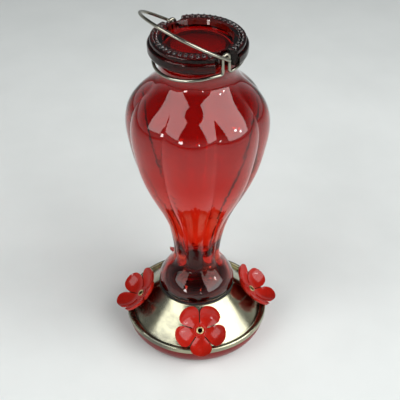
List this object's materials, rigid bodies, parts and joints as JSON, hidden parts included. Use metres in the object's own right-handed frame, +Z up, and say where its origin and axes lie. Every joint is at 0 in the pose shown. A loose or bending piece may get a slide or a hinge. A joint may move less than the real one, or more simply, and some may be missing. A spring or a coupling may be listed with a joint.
{
  "type": "hummingbird feeder",
  "caption": "Table-standing or hanging hummingbird feeder: fluted glass bottle screwed mouth down into a nectar bowl with a domed steel cover, flower ports and a wire bail.",
  "frame": {"origin": "centre of the nectar bowl's foot ring, on the surface that it stands on", "axes": "+Z up through the bottle; the four ports lie on the X and Y axes, the front one on -Y"},
  "size_m": [0.1378, 0.1378, 0.3014],
  "materials": {
    "red_glass": "clear deep red pressed glass",
    "steel": "polished with fine turning marks, satin on the rolled rim",
    "wire": "drawn wire, satin",
    "red_plastic": "moulded, semi-gloss",
    "bowl_plastic": "moulded, slightly translucent",
    "brass": "drawn, bright",
    "black_rubber": "matt"
  },
  "bodies": {
    "base": {"nectar_bowl": "bowl_plastic", "threaded_socket": "bowl_plastic", "base_cover": "steel", "mouth_seal": "black_rubber", "flower_front": "red_plastic", "eyelet_front": "brass", "backing_washer_front": "steel", "flower_right": "red_plastic", "eyelet_right": "brass", "backing_washer_right": "steel", "flower_back": "red_plastic", "eyelet_back": "brass", "backing_washer_back": "steel", "flower_left": "red_plastic", "eyelet_left": "brass", "backing_washer_left": "steel"},
    "washer": {"collar_washer": "black_rubber"},
    "bottle": {"bottle": "red_glass", "hanger_ring": "wire"},
    "bail": {"bail": "wire"}
  },
  "joints": [
    {"name": "bottle_lift", "type": "slide", "parent": "base", "child": "washer", "axis": [0, 0, 1], "range_m": [0, 0.00701]},
    {"name": "bottle_turn", "type": "hinge", "parent": "washer", "child": "bottle", "pos_m": [0, 0, 0.0476], "axis": [0, 0, 1], "range_deg": [0, 630]},
    {"name": "bail_swing", "type": "hinge", "parent": "bottle", "child": "bail", "pos_m": [0, 0, 0.27488], "axis": [-0.5373, 0.8434, 0], "range_deg": [0, 115]}
  ],
  "couplings": [
    {"joint": "bottle_lift", "follows": "bottle_turn", "m_per_rad": 0.00063662}
  ]
}
